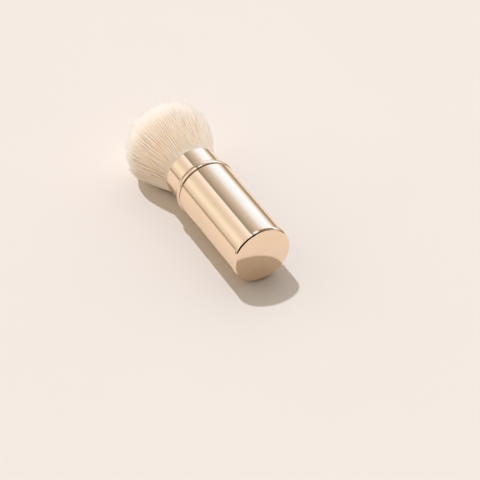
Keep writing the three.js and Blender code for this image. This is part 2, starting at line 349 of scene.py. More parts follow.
def rounded(corners, closed, step_mm=4.0):
    """A turned piece's outline. Corners are (station, radius, rounding), or (station, radius, (rounding, rounding towards the next corner)) for an elliptic edge.
    Each edge is split into even steps, with a short step beside each rounding, so that smooth shading stays in the rounding."""
    n = len(corners)
    p = [np.array(c[:2], float) for c in corners]
    out = []
    for i, c in enumerate(corners):
        if not closed and i in (0, n - 1):
            out.append([p[i]])
            continue
        before, after = p[i - 1], p[(i + 1) % n]
        a, b = before - p[i], after - p[i]
        a, b = a / np.linalg.norm(a), b / np.linalg.norm(b)
        first, second = c[2] if hasattr(c[2], "__len__") else (c[2], c[2])
        if max(first, second) < 1e-6:
            out.append([p[i]])
            continue
        # An ellipse quarter sheared into the corner: exact for right angles
        steps = 10
        arc = []
        for k in range(steps + 1):
            w = math.pi / 2 * k / steps
            arc.append(p[i] + a * first * (1 - math.sin(w)) + b * second * (1 - math.cos(w)))
        out.append(arc)
    points = []
    count = n if closed else n - 1
    for i in range(n):
        points.extend(out[i])
        if i >= count:
            break
        start, end = out[i][-1], out[(i + 1) % n][0]
        gap = np.linalg.norm(end - start)
        if gap < 1e-6:
            continue
        guard = 0.03 if gap > 0.2 else 0.0
        inner = []
        if guard and len(out[i]) > 1:
            inner.append(guard)
        steps = max(1, int(round(gap / step_mm)))
        for k in range(1, steps):
            inner.append(gap * k / steps)
        if guard and len(out[(i + 1) % n]) > 1:
            inner.append(gap - guard)
        for d in inner:
            points.append(start + (end - start) * d / gap)
    cleaned = [points[0]]
    for q in points[1:]:
        if np.linalg.norm(q - cleaned[-1]) > 1e-5:
            cleaned.append(q)
    if closed and np.linalg.norm(cleaned[0] - cleaned[-1]) < 1e-5:
        cleaned.pop()
    return np.array(cleaned)


def smooth_curve(x, xs, ys):
    """Monotone cubic through the points."""
    xs, ys = np.asarray(xs, float), np.asarray(ys, float)
    h = np.diff(xs)
    d = np.diff(ys) / h
    g = np.zeros(len(xs))
    g[0], g[-1] = d[0], d[-1]
    for i in range(1, len(xs) - 1):
        if d[i - 1] * d[i] > 0:
            w1, w2 = 2 * h[i] + h[i - 1], h[i] + 2 * h[i - 1]
            g[i] = (w1 + w2) / (w1 / d[i - 1] + w2 / d[i])
    x = np.clip(x, xs[0], xs[-1])
    k = np.clip(np.searchsorted(xs, x) - 1, 0, len(h) - 1)
    t = (x - xs[k]) / h[k]
    return (
        (2 * t**3 - 3 * t**2 + 1) * ys[k]
        + (t**3 - 2 * t**2 + t) * h[k] * g[k]
        + (-2 * t**3 + 3 * t**2) * ys[k + 1]
        + (t**3 - t**2) * h[k] * g[k + 1]
    )


def turn(name, outline, closed, material, segments=256, sharp=32.0, radius_at=None, angles=None):
    """Turns an outline of (station, radius) round the brush axis. Ends on the axis become single points. radius_at(station, radius, angle) may change the radius by angle."""
    if angles is None:
        angles = np.arange(segments) * 2 * math.pi / segments
    m = len(angles)
    points, rings = [], []
    for s, r in outline:
        if r < 1e-6:
            rings.append([len(points)])
            points.append((s - ORIGIN_STATION, 0.0, AXIS_Z))
            continue
        radii = np.full(m, r) if radius_at is None else radius_at(s, r, angles)
        rings.append(list(range(len(points), len(points) + m)))
        for a, q in zip(angles, radii):
            points.append((s - ORIGIN_STATION, q * math.cos(a), AXIS_Z + q * math.sin(a)))
    quads, tris = [], []
    pairs = [(i, i + 1) for i in range(len(rings) - 1)]
    if closed:
        pairs.append((len(rings) - 1, 0))
    for i, j in pairs:
        a, b = rings[i], rings[j]
        for k in range(m):
            k1 = (k + 1) % m
            if len(a) == 1 and len(b) == 1:
                break
            if len(a) == 1:
                tris.append((a[0], b[k], b[k1]))
            elif len(b) == 1:
                tris.append((a[k], b[0], a[k1]))
            else:
                quads.append((a[k], b[k], b[k1], a[k1]))
    ob = build_mesh(name, np.array(points), quads, tris, material)
    me = ob.data
    # Faces point out: the signed volume tells which way the outline runs
    co = np.array(points)
    volume = 0.0
    for face in quads[:: max(1, len(quads) // 4000)]:
        pass
    q = np.array(quads, int).reshape(-1, 4)
    t3 = [q[:, (0, 1, 2)], q[:, (0, 2, 3)]] if len(q) else []
    if tris:
        t3.append(np.array(tris, int))
    f = np.concatenate(t3)
    a, b, c = co[f[:, 0]], co[f[:, 1]], co[f[:, 2]]
    volume = float((a * np.cross(b, c)).sum() / 6)
    if volume < 0:
        me.flip_normals()
    me.set_sharp_from_angle(angle=math.radians(sharp))
    return ob


def stands_for(ob, body, slot, *nodes):
    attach(ob, body)
    if nodes:
        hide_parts(*nodes)
    return ob


# ---------------------------------------------------------------- metal and tube

# Barrel: drawn cup. The wall eases in over the last two millimetres before the
# base disc, as a drawn and polished edge does, and ends square at the mouth.
shell = turn(
    "barrel",
    rounded(
        [
            (0.0, 0.0, 0),
            (0.0, 15.0, (1.25, 1.8)),
            (55.55, 15.0, (0.80, 0.46)),
            (55.55, 14.4, 0.08),
            (0.8, 14.4, 0.5),
            (0.8, 0.0, 0),
        ],
        closed=False,
    ),
    False,
    MATERIAL["polished_gold"],
)
stands_for(shell, "handle", "polished_gold", "barrel_shell")

# Bead: upright on the barrel's side, where a dark gap parts them, rounded over
# its top, and running out in a long slope to the neck
bead = [(55.80, 13.4), (55.80, 14.2), (55.80, 14.84)]
for k in range(0, 15):
    w = math.pi / 2 * k / 14
    bead.append((56.68 - 0.88 * math.cos(w), 14.87 + 0.53 * math.sin(w)))
for k in range(1, 15):
    w = math.radians(82) * k / 14
    bead.append((56.68 + 2.6 * math.sin(w), 14.22 + 1.18 * math.cos(w)))
bead += [(59.4, 14.2), (59.4, 13.4)]
collar = turn("collar_bead", np.array(bead), True, MATERIAL["polished_gold"], sharp=50.0)
stands_for(collar, "sleeve", "polished_gold", "collar_ring")

# Neck: thin drawn tube, rim rolled in over the end of the guide tube
neck = turn(
    "neck",
    rounded(
        [
            (59.42, 13.4, 0.05),
            (59.42, 13.9, 0.12),
            (71.0, 13.9, (0.62, 0.40)),
            (71.0, 12.7, 0.12),
            (70.6, 12.7, 0.10),
            (70.6, 13.4, 0.05),
        ],
        closed=True,
    ),
    True,
    MATERIAL["polished_gold"],
)
stands_for(neck, "sleeve", "polished_gold", "neck_shell")

# Guide tube: keyways cut along both sides
KEY_HALF = 1.0


def keyed(station, radius, angles):
    radii = np.full(len(angles), radius)
    if 13.5 - 1e-6 <= station <= 56.2 + 1e-6 and radius > 12.15:
        inside = np.abs(radius * np.sin(angles)) < KEY_HALF + 1e-6
        radii[inside] = 12.15
    return radii


edge = math.asin(KEY_HALF / 12.5)
tube_angles = []
for k in range(256):
    a = 2 * math.pi * k / 256
    if min(abs(math.sin(a - edge)), abs(math.sin(a + edge))) > 0.012:
        tube_angles.append(a)
for side in (0.0, math.pi):
    for sign in (-1, 1):
        at = side + sign * edge
        tube_angles += [at + sign * 1e-5, at + sign * 0.004, at - sign * 1e-3, at - sign * 0.006]
tube_angles = np.sort(np.mod(np.array(tube_angles), 2 * math.pi))
tube_outline = [
    (10.2, 11.6), (10.2, 11.95), (10.25, 12.0), (13.45, 12.0), (14.55, 12.0), (14.6, 12.05),
    (14.6, 12.45), (14.65, 12.5), (20.0, 12.5), (26.0, 12.5), (32.0, 12.5), (38.0, 12.5),
    (44.0, 12.5), (50.0, 12.5), (56.18, 12.5), (56.2, 12.5), (56.2001, 12.5), (56.4, 12.5),
    (57.0, 13.3), (57.05, 13.3), (63.0, 13.3), (70.35, 13.3), (70.4, 13.25),
    (70.4, 12.65), (70.35, 12.6), (64.0, 12.6), (58.0, 12.6), (56.6, 11.6), (56.5, 11.6),
    (50.0, 11.6), (40.0, 11.6), (30.0, 11.6), (20.0, 11.6), (10.3, 11.6),
]


def keyed_tube(station, radius, angles):
    radii = np.full(len(angles), radius)
    if 14.6 <= station <= 56.2 and radius > 12.15:
        radii[np.abs(12.5 * np.sin(angles)) < KEY_HALF] = 12.15
    return radii


tube = turn(
    "sliding_tube",
    np.array(tube_outline),
    True,
    MATERIAL["satin_gold"],
    radius_at=keyed_tube,
    angles=tube_angles,
    sharp=30.0,
)
stands_for(tube, "sleeve", "satin_gold", "guide_tube")

# The pieces inside keep their CAD shape and get their finish
FINISH = {m["node"]: m["material_slot"] for m in frame["record"]["subparts"]}
for node, ob in frame["nodes"].items():
    finish = MATERIAL[FINISH[node]]
    for s in ob.material_slots:
        s.link = "OBJECT"
        s.material = finish


# ---------------------------------------------------------------- hair

rng = np.random.default_rng(20261)


# Outside of the head from the ferrule to its widest place, then the way the
# outermost hairs would go on if they were longer
FLARE = [
    (54.0, 10.1), (58.0, 10.15), (61.8, 10.3), (64.5, 10.9), (68.0, 11.7), (70.6, 12.25),
    (71.3, 13.1), (72.0, 13.8), (73.2, 14.45), (75.0, 15.25), (77.5, 16.35), (80.0, 17.4), (82.5, 18.45),
    (85.0, 19.4), (87.5, 20.35), (90.0, 21.2), (93.0, 22.0), (97.0, 23.0), (102.0, 24.1), (108.0, 25.2),
]
FLARE_S, FLARE_R = np.array(FLARE).T
WIDEST, HEAD_R, POWER = 91.3, 21.4, 3.4


def flare(s):
    return smooth_curve(s, FLARE_S, FLARE_R)


def dome(s):
    """Radius of the dome at a station past the widest place."""
    u = np.clip((s - WIDEST) / (TOTAL - WIDEST), 0, 1)
    return HEAD_R * (1 - u**POWER) ** (1 / POWER)


def outside(s):
    """Radius of the head's outside at a station."""
    return np.where(s < WIDEST, np.minimum(flare(s), HEAD_R), dome(s))


def lie_down(points, low=0.0):
    """The head as it lies: lifted by the floor and leaning a little to one side, pressed flat, and spread where it is pressed. points are (station, y, z from the axis); low is how far above the floor each stays."""
    s, y, z = points[..., 0], points[..., 1], points[..., 2]
    along = np.maximum(0.0, s - 71.0)
    k = 1 - np.exp(-along / 4.8)
    height = AXIS_Z + z + 1.7 * k
    height = np.maximum(height, low)
    near = k * np.exp(-((height / 7.0) ** 2))
    y = np.where(y < 0, 1 - 0.05 * k, 1.0) * y * (1 + 0.14 * near) + 0.8 * k
    s = s + 3.6 * near * along / 35.0
    return np.stack([s - ORIGIN_STATION, y, height], -1)


def facing(s, at):
    """Which way the head's outside faces next to a point of a hair: at is its place on the disc of streamlines."""
    reach = np.linalg.norm(at, axis=-1)
    out = at / np.maximum(reach, 1e-6)[..., None]
    slope = (flare(s + 0.5) - flare(s - 0.5)) * reach
    easing = np.clip((s - 85.0) / 9.0, 0, 1)
    back = slope * (1 - easing * easing * (3 - 2 * easing))
    u = np.clip((s - WIDEST) / (TOTAL - WIDEST), 0, 1)
    v = np.clip(reach * flare(s) / HEAD_R, 0.02, 1)
    ahead = u ** (POWER - 1) / (TOTAL - WIDEST)
    round_ = v ** (POWER - 1) / HEAD_R
    size = np.hypot(ahead, round_)
    n = np.concatenate([(ahead / size - back)[..., None], out * (round_ / size)[..., None]], -1)
    n /= np.linalg.norm(n, axis=-1, keepdims=True)
    # Light from beyond also comes through the hair on the far side
    through = np.where(n[..., 1] < 0, -0.74, 0.02) * n[..., 1]
    return n + through[..., None] * np.array([0.52, 0.0, 0.85])


# How far the dome's outline reaches, by area, to share the tips out evenly
line_s = np.concatenate([np.linspace(84.0, WIDEST, 60), WIDEST + (TOTAL - WIDEST) * (1 - np.linspace(1, 0, 240) ** 2)])
line_r = outside(line_s)
line_step = np.hypot(np.diff(line_s), np.diff(line_r))
line_area = np.concatenate([[0], np.cumsum(line_step * (line_r[1:] + line_r[:-1]) / 2)])
line_area /= line_area[-1]


def rods(path, radius, tone, near_tip, face, width=0.006):
    """Three-sided tapering rods along path[n, nodes, 3], each closed, ending in a point. Their normals lean to face[n, nodes, 3], as light spreads through hair and shades it as one body. tone[n, nodes] and near_tip[n, nodes] go to the map."""
    n, nodes, _ = path.shape
    rings = nodes - 1
    ahead = np.empty_like(path)
    ahead[:, 1:-1] = path[:, 2:] - path[:, :-2]
    ahead[:, 0] = path[:, 1] - path[:, 0]
    ahead[:, -1] = path[:, -1] - path[:, -2]
    ahead /= np.linalg.norm(ahead, axis=2, keepdims=True) + 1e-12
    turn_by = rng.uniform(0, 2 * math.pi, n)
    ref = np.stack([np.zeros(n), np.cos(turn_by), np.sin(turn_by)], 1)[:, None, :]
    side = np.cross(ahead, np.broadcast_to(ref, ahead.shape))
    side /= np.linalg.norm(side, axis=2, keepdims=True) + 1e-12
    up = np.cross(ahead, side)
    verts = np.empty((n, rings * 3 + 1, 3))
    normals = np.empty_like(verts)
    for j in range(3):
        w = 2 * math.pi * j / 3
        round_it = math.cos(w) * side[:, :rings] + math.sin(w) * up[:, :rings]
        verts[:, j : rings * 3 : 3] = path[:, :rings] + radius[:, :rings, None] * round_it
        normals[:, j : rings * 3 : 3] = 0.66 * face[:, :rings] + 0.34 * round_it
    verts[:, -1] = path[:, -1]
    normals[:, -1] = face[:, -1]
    normals /= np.linalg.norm(normals, axis=2, keepdims=True)
    base = (np.arange(n) * (rings * 3 + 1))[:, None]
    quads, quv, tris, tuv = [], [], [], []
    for i in range(rings - 1):
        for j in range(3):
            k = (j + 1) % 3
            quads.append(base + np.array([[3 * i + j, 3 * i + k, 3 * i + 3 + k, 3 * i + 3 + j]]))
            left, right = width * (j / 3 - 0.5), width * ((j + 1) / 3 - 0.5)
            u0, u1 = tone[:, i], tone[:, i + 1]
            v0, v1 = near_tip[:, i], near_tip[:, i + 1]
            quv.append(
                np.stack(
                    [
                        np.stack([u0 + left, v0], 1),
                        np.stack([u0 + right, v0], 1),
                        np.stack([u1 + right, v1], 1),
                        np.stack([u1 + left, v1], 1),
                    ],
                    1,
                )
            )
    last = rings - 1
    for j in range(3):
        k = (j + 1) % 3
        tris.append(base + np.array([[3 * last + j, 3 * last + k, rings * 3]]))
        left, right = width * (j / 3 - 0.5), width * ((j + 1) / 3 - 0.5)
        u0, v0, v1 = tone[:, last], near_tip[:, last], near_tip[:, -1]
        tuv.append(np.stack([np.stack([u0 + left, v0], 1), np.stack([u0 + right, v0], 1), np.stack([tone[:, -1], v1], 1)], 1))
    tris.append(base + np.array([[2, 1, 0]]))
    u0 = tone[:, 0] - width / 2
    tuv.append(
        np.stack(
            [
                np.stack([u0, near_tip[:, 0]], 1),
                np.stack([u0 + width, near_tip[:, 0]], 1),
                np.stack([u0 + width / 2, near_tip[:, 0] + 0.004], 1),
            ],
            1,
        )
    )
    return (
        verts.reshape(-1, 3),
        np.stack(quads, 1).reshape(-1, 4),
        np.stack(tris, 1).reshape(-1, 3),
        np.stack(quv, 1).reshape(-1, 2),
        np.stack(tuv, 1).reshape(-1, 2),
        normals.reshape(-1, 3),
    )


def nearest(points, centres):
    """For each point, the number of the nearest centre."""
    found = np.empty(len(points), int)
    for i in range(0, len(points), 4000):
        block = points[i : i + 4000]
        d = ((block[:, None, :] - centres[None]) ** 2).sum(2)
        found[i : i + 4000] = d.argmin(1)
    return found


def locks(count, low, high):
    """Middles of the small locks that hairs gather in, as places on the disc of streamlines."""
    r = np.sqrt(rng.uniform(low**2, high**2, count))
    a = rng.uniform(0, 2 * math.pi, count)
    return np.stack([r * np.cos(a), r * np.sin(a)], 1)


# Fine lines of painted ridge light and groove shade run along the hairs all round
# the head: waves round it, whose phases drift slowly along it
LINES = 40
line_count = rng.integers(74, 138, LINES)
line_phase = rng.uniform(0, 2 * math.pi, LINES)
line_drift = rng.normal(0, 0.36, LINES)
WIDE = 16
wide_count = rng.integers(38, 76, WIDE)
wide_phase = rng.uniform(0, 2 * math.pi, WIDE)
wide_drift = rng.normal(0, 0.30, WIDE)
patch_count = rng.integers(3, 17, 14)
patch_phase = rng.uniform(0, 2 * math.pi, 14)
patch_drift = rng.normal(0, 0.30, 14)


def painted_ridge_lines_at(s, at):
    """Lightness of the fine lines of painted ridge light and groove shade, about -2 to 2, at a place on the head."""
    a = np.arctan2(at[..., 1], at[..., 0])
    g = np.zeros(a.shape)
    for count, phase, drift in zip(line_count, line_phase, line_drift):
        g += np.cos(count * a + phase + drift * (s - 80.0))
    g = g / math.sqrt(LINES / 2)
    # Wider lines of painted light and shade low on the left, where the head turns away
    wide = np.zeros(a.shape)
    for count, phase, drift in zip(wide_count, wide_phase, wide_drift):
        wide += np.cos(count * a + phase + drift * (s - 80.0))
    g = g + 1.1 * wide / math.sqrt(WIDE / 2) * np.exp(-(((a + 0.05) / 0.60) ** 2))
    strength = np.zeros(a.shape)
    for count, phase, drift in zip(patch_count, patch_phase, patch_drift):
        strength += np.cos(count * a + phase + drift * (s - 80.0))
    strength = 1.0 + 0.60 * strength / math.sqrt(7.0)
    # The lines show most on the side that the light grazes, and fade at the tips and the neck
    side = 0.45 + 0.55 * np.clip(0.5 + 0.9 * np.cos(a - math.radians(45)), 0, 1)
    along = np.clip((s - 70.0) / 6.0, 0.25, 1) * np.clip((93.5 - s) / 8.0, 0.22, 1)
    return g * np.clip(strength, 0.1, 2.0) * side * along


def streams(tip_s, eta, angle, length, nodes, centres, cell, gather, sway, thick, tone_by_lock, reach, flick):
    """Hairs as streamlines of the flare, from length below the tip to the tip, gathered in locks about cell wide. flick is how far each bends out at its tip. Returns what rods() needs."""
    n = len(tip_s)
    place = np.stack([eta * np.cos(angle), eta * np.sin(angle)], 1)
    lock = nearest(place, centres)
    t = np.linspace(0, 1, nodes)[None, :]
    start = np.maximum(tip_s - length, 58.0)
    s = start[:, None] + (tip_s - start)[:, None] * t
    # Hairs lie loose at the ferrule, gather in locks further out and part a little at the tip
    out = np.clip((s - 69.0) / 14.0, 0, 1)
    near_end = np.clip(1 - (tip_s[:, None] - s) / 7.0, 0, 1)
    pull = gather * out * out * (3 - 2 * out) * (1 - 0.45 * near_end**2)
    pull = pull * rng.uniform(0.55, 1.0, n)[:, None]
    target = centres[lock]
    at = place[:, None, :] + (target - place)[:, None, :] * pull[:, :, None]
    # A little bend of each hair and of each lock
    lean = rng.normal(0, 1, (len(centres), 2))[lock] * sway * 0.6 + rng.normal(0, 1, (n, 2)) * sway
    bend = np.clip((s - 68.0) / 26.0, 0, 1.6)[:, :, None] ** 1.6
    wave = np.sin(t * rng.uniform(2.0, 5.0, n)[:, None] + rng.uniform(0, 6.3, n)[:, None])[:, :, None]
    at = at + lean[:, None, :] * bend / 20.0 + wave * bend * rng.normal(0, 0.0022, (n, 1, 2))
    grown = np.linalg.norm(at, axis=2, keepdims=True)
    most = np.where(s > 74.0, reach, 0.995)[:, :, None]
    at = at * np.minimum(1.0, most / np.maximum(grown, 1e-9))
    at = at * (1 + flick[:, None] * near_end**2)[:, :, None]
    r = flare(s)[:, :, None]
    # Each lock is a little ridge: its hairs face away from its middle
    off = (place - target)[:, None, :] / (0.5 * cell)
    ridge = np.concatenate([np.zeros((n, nodes, 1)), np.broadcast_to(off, (n, nodes, 2))], 2)
    face = facing(s, at) + 0.30 * np.clip(ridge, -1, 1) + np.array([0.12, 0.0, 0.20])
    path = np.concatenate([s[:, :, None], at * r], 2)
    path = lie_down(path, rng.uniform(0.10, 0.75, n)[:, None])
    taper = np.clip((1 - t) / 0.55, 0.0, 1.0) ** 0.7
    radius = thick[:, None] * (0.22 + 0.78 * taper)
    near_tip = np.clip(1 - (tip_s[:, None] - s) / 34.0, 0.004, 0.996)
    # Fine lines of painted ridge light and groove shade, and lock tones of painted ridge light and groove shade that
    # come and go slightly along each lock
    wave = rng.uniform(9.0, 22.0, len(centres))[lock][:, None]
    phase = rng.uniform(0, 2 * math.pi, len(centres))[lock][:, None]
    tone = 0.50 + 0.32 * np.clip(painted_ridge_lines_at(s, at), -1.5, 1.2)
    # Painted shade darkens the flank on the left, and painted light makes the shoulder of the dome paler there
    left = np.cos(np.arctan2(at[..., 1], at[..., 0]) - math.radians(30))
    tone = tone + (0.035 - 0.13 * left) * np.clip((98.0 - s) / 8.0, 0, 1)
    tone = tone + 0.22 * np.clip((s - 90.5) / 4.5, 0, 1) * np.clip(0.5 + 0.9 * left, 0.25, 1)
    tone = tone + (tone_by_lock[lock] - 0.45)[:, None] * 0.30 * np.sin(2 * math.pi * s / wave + phase)
    tone = tone + rng.normal(0, 0.09, n)[:, None]
    return path, radius, np.clip(tone, 0.02, 0.78), near_tip, face


def tips_on_dome(n):
    at = np.interp(rng.uniform(0, 1, n), line_area, np.arange(len(line_area)))
    s = np.interp(at, np.arange(len(line_s)), line_s)
    r = np.interp(at, np.arange(len(line_r)), line_r)
    return s, r


groups = []

def two_tones(count, share, light, dark, spread):
    """Tones of the locks: a share of them light, the rest darker, as light falls on ridges and into grooves."""
    tone = np.where(rng.uniform(0, 1, count) < share, light, dark)
    return np.clip(tone + rng.normal(0, spread, count), 0.03, 0.77)


# Tips of the dome
n = 32000
tip_s, tip_r = tips_on_dome(n)
eta = tip_r / flare(tip_s)
tip_s = tip_s + rng.normal(0.0, 0.60, n).clip(-1.8, 1.8) + np.minimum(rng.exponential(1.0, n), 3.2) * (rng.uniform(0, 1, n) < 0.30)
angle = rng.uniform(0, 2 * math.pi, n)
centres = locks(2700, 0.0, 1.0)
groups.append(
    (
        *streams(
            tip_s, eta, angle, 13.0, 7, centres, 0.034, 0.52, 0.30,
            rng.uniform(0.054, 0.078, n), two_tones(len(centres), 0.5, 0.68, 0.22, 0.08), 1.01,
            np.minimum(rng.exponential(0.045, n), 0.13) * (rng.uniform(0, 1, n) < 0.35) * np.clip(0.9 + 1.4 * np.sin(angle), 0.1, 1),
        ),
        angle,
    )
)

# Coat of the flank
n = 14000
eta = 1.0 - 0.075 * rng.uniform(0, 1, n) ** 1.4
tip_s = 93.5 - 15.0 * rng.uniform(0, 1, n) ** 2.6 + rng.normal(0, 0.5, n)
angle = rng.uniform(0, 2 * math.pi, n)
centres = locks(950, 0.93, 1.0)
groups.append(
    (
        *streams(
            tip_s, eta, angle, 40.0, 11, centres, 0.021, 0.80, 0.30,
            rng.uniform(0.062, 0.086, n), two_tones(len(centres), 0.5, 0.74, 0.12, 0.08), 1.006,
            np.minimum(rng.exponential(0.035, n), 0.11) * (rng.uniform(0, 1, n) < 0.30) * np.clip((tip_s - 82.0) / 8.0, 0, 1)
            * np.clip(0.9 + 1.4 * np.sin(angle), 0.1, 1),
        ),
        angle,
    )
)

SECTORS = 16
WEDGE = 2 * math.pi / SECTORS


def core_wedge(k):
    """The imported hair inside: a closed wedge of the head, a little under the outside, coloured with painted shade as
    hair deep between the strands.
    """
    s_line = np.concatenate(
        [np.linspace(56.0, 71.0, 8), np.linspace(72.0, WIDEST, 12), WIDEST + (TOTAL - 2.2 - WIDEST) * np.sin(np.linspace(0.12, 1, 15) * math.pi / 2)]
    )
    inset = np.interp(s_line, [56, 71, 75, 90, 106], [0.35, 0.7, 1.0, 1.6, 1.8])
    u = np.clip((s_line - WIDEST) / (TOTAL - 2.2 - WIDEST), 0, 1)
    r_line = np.where(s_line < WIDEST, np.minimum(flare(s_line), HEAD_R), HEAD_R * (1 - u**POWER) ** (1 / POWER)) - inset
    r_line = np.maximum(r_line, 0.0)
    r_line[-1] = 0.0
    across = 9
    a_line = (k - 0.5) * WEDGE + WEDGE * np.linspace(0, 1, across)
    m = len(s_line)
    pts = np.empty((m, across + 1, 3))
    pts[:, :across, 0] = s_line[:, None]
    pts[:, :across, 1] = r_line[:, None] * np.cos(a_line)[None]
    pts[:, :across, 2] = r_line[:, None] * np.sin(a_line)[None]
    pts[:, across] = np.stack([s_line, 0 * s_line, 0 * s_line], 1)
    place = lie_down(pts, 0.5)
    keep = place.reshape(-1, 3)
    disc = np.stack([np.broadcast_to(np.cos(a_line), (m, across)), np.broadcast_to(np.sin(a_line), (m, across))], 2)
    face = facing(np.broadcast_to(s_line[:, None], (m, across)), disc * (r_line / flare(s_line))[:, None, None])
    face = np.concatenate([face, np.broadcast_to(np.array([1.0, 0.0, 0.0]), (m, 1, 3))], 1).reshape(-1, 3)
    ids = np.arange(m * (across + 1)).reshape(m, across + 1)
    ids[-1, :] = ids[-1, across]  # the tip is one point
    quads, tris, quv, tuv = [], [], [], []

    def put(a, b, c, d, uvs):
        loop = [a, b, c, d]
        seen, loop_uv = [], []
        for x, q in zip(loop, uvs):
            if x not in seen:
                seen.append(x)
                loop_uv.append(q)
        if len(seen) == 4:
            quads.append(seen)
            quv.extend(loop_uv)
        elif len(seen) == 3:
            tris.append(seen)
            tuv.extend(loop_uv)

    # The core's map points past 0.83 on the hair's tone ramp: painted shade, as hair deep in shade
    def at(i, j):
        v = min(max(1 - (93.0 - s_line[i]) / 34.0, 0.02), 0.62)
        return (0.82 + 0.17 * j / (across - 1), v)

    for i in range(m - 1):
        for j in range(across - 1):
            put(ids[i, j], ids[i, j + 1], ids[i + 1, j + 1], ids[i + 1, j], [at(i, j), at(i, j + 1), at(i + 1, j + 1), at(i + 1, j)])
        v0, v1 = at(i, 0)[1], at(i + 1, 0)[1]
        put(ids[i, across], ids[i, 0], ids[i + 1, 0], ids[i + 1, across], [(0.990, v0), (0.992, v0), (0.992, v1), (0.990, v1)])
        put(ids[i, across - 1], ids[i, across], ids[i + 1, across], ids[i + 1, across - 1], [(0.992, v0), (0.994, v0), (0.994, v1), (0.992, v1)])
    for j in range(across - 1):
        tris.append([ids[0, across], ids[0, j + 1], ids[0, j]])
        tuv.extend([(0.994, 0.02), (0.996, 0.02), (0.995, 0.024)])
    used = sorted({x for f in quads + tris for x in f})
    index = {x: i for i, x in enumerate(used)}
    return (
        keep[used],
        np.array([[index[x] for x in f] for f in quads]),
        np.array([[index[x] for x in f] for f in tris]),
        np.array(quv),
        np.array(tuv),
        face[used],
    )


def hair_piece(name, parts):
    """One sector's mesh from its parts, carried by the handle."""
    offset, verts, quads, tris, quv, tuv, normals = 0, [], [], [], [], [], []
    for p in parts:
        verts.append(p[0])
        quads.append(p[1] + offset)
        tris.append(p[2] + offset)
        quv.append(p[3])
        tuv.append(p[4])
        normals.append(p[5])
        offset += len(p[0])
    ob = build_mesh(
        name,
        np.concatenate(verts),
        np.concatenate(quads),
        np.concatenate(tris),
        MATERIAL["cream_hair"],
        np.concatenate(quv + tuv),
        np.concatenate(normals),
    )
    stands_for(ob, "handle", "cream_hair", "bristle_head")
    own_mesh(ob)
    return ob


for k in range(SECTORS):
    hair_piece(f"hair_core_{k + 1:02d}", [core_wedge(k)])
    parts = []
    for path, radius, tone, near_tip, face, angle in groups:
        mine = np.floor(np.mod(angle / WEDGE + 0.5, SECTORS)).astype(int) == k
        parts.append(rods(path[mine], radius[mine], tone[mine], near_tip[mine], face[mine]))
    # Fine pale hair lets light through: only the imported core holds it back, and
    # the coat of the lowest sectors, which meets the floor
    if math.sin(k * WEDGE) > -0.8:
        clear = [hair_piece(f"hair_{k + 1:02d}", parts)]
    else:
        clear = [hair_piece(f"hair_tips_{k + 1:02d}", parts[:1])]
        hair_piece(f"hair_{k + 1:02d}", parts[1:])
    for ob in clear:
        ob.visible_shadow = False
        ob.visible_diffuse = False


# ---------------------------------------------------------------- floor, light, camera

floor_mat = bpy.data.materials.new("floor_pale")
t = Tree(floor_mat)
cloud = t.noise(t.stretched((6, 6, 6)), 1.0, 3.0, 0.5)
grain = t.noise(t.stretched((900, 900, 900)), 1.0, 3.0, 0.6)
t.principled(
    Base_Color=t.mix(t.span(cloud, 0.3, 0.7), (0.760, 0.710, 0.677), (0.772, 0.722, 0.689)),
    Roughness=0.85,
    Specular_IOR_Level=0.2,
    Normal=t.bump(grain, 0.05, 0.00003),
)
rings, around = [0.0, 0.05, 0.1, 0.2, 0.4, 0.8, 1.6, 3.2, 6.4], 64
pts = [(0, 0, 0)]
for r in rings[1:]:
    for k in range(around):
        w = 2 * math.pi * k / around
        pts.append((r * 1000 * math.cos(w), r * 1000 * math.sin(w), 0))
tri = [(0, 1 + k, 1 + (k + 1) % around) for k in range(around)]
quad = []
for i in range(len(rings) - 2):
    a, b = 1 + i * around, 1 + (i + 1) * around
    quad += [(a + k, b + k, b + (k + 1) % around, a + (k + 1) % around) for k in range(around)]
floor = build_mesh("floor", np.array(pts, float), quad, tri, floor_mat)

# Key: a small soft source high beyond the hair
sun_data = bpy.data.lights.new("key", "SUN")
sun_data.energy = 2.1
sun_data.angle = math.radians(2.4)
sun_data.color = (0.88, 0.92, 1.0)
sun = bpy.data.objects.new("key", sun_data)
scene.collection.objects.link(sun)
sun.visible_glossy = False  # the metal mirrors the lamps drawn in the world instead
sun.rotation_mode = "QUATERNION"
sun.rotation_quaternion = Vector((-0.525, 0.007, -0.851)).to_track_quat("-Z", "Y")

# Studio round the brush. What lights it is a soft fill from both sides, warmer
# on the left, with a dimmer ceiling. What polished metal mirrors is finer: a
# pale card on the left with an upper edge, the dim ceiling with a narrow lamp
# along it, a softbox low on the right, and the dark room behind the camera.
world = bpy.data.worlds.new("studio")
scene.world = world
t = Tree(world)
coords = t.node("ShaderNodeTexCoord")
axes = t.node("ShaderNodeSeparateXYZ")
t.link(coords.outputs["Generated"], axes.inputs["Vector"])
x, y, z = axes.outputs
turned_by = t.math("DIVIDE", t.math("ARCTAN2", z, y), math.pi)
strip = t.ramp(
    turned_by,
    [
        (at / 180, colour)
        for at, colour in (
            (0, (0.74, 0.68, 0.61)),
            (9, (0.83, 0.78, 0.70)),
            (20, (1.00, 0.98, 0.91)),
            (28, (1.02, 1.01, 0.94)),
            (46, (0.81, 0.76, 0.70)),
            (57, (0.89, 0.82, 0.77)),
            (66, (1.03, 1.00, 1.01)),
            (76, (1.00, 1.10, 1.20)),
            (77.5, (0.34, 0.30, 0.25)),
            (96, (0.56, 0.52, 0.50)),
            (108, (0.70, 0.66, 0.64)),
            (127, (0.97, 1.12, 1.36)),
            (142, (1.03, 1.26, 1.62)),
            (157, (1.04, 1.29, 1.66)),
            (166, (0.97, 1.00, 1.07)),
            (176, (0.54, 0.49, 0.42)),
            (180, (0.44, 0.38, 0.30)),
        )
    ],
)
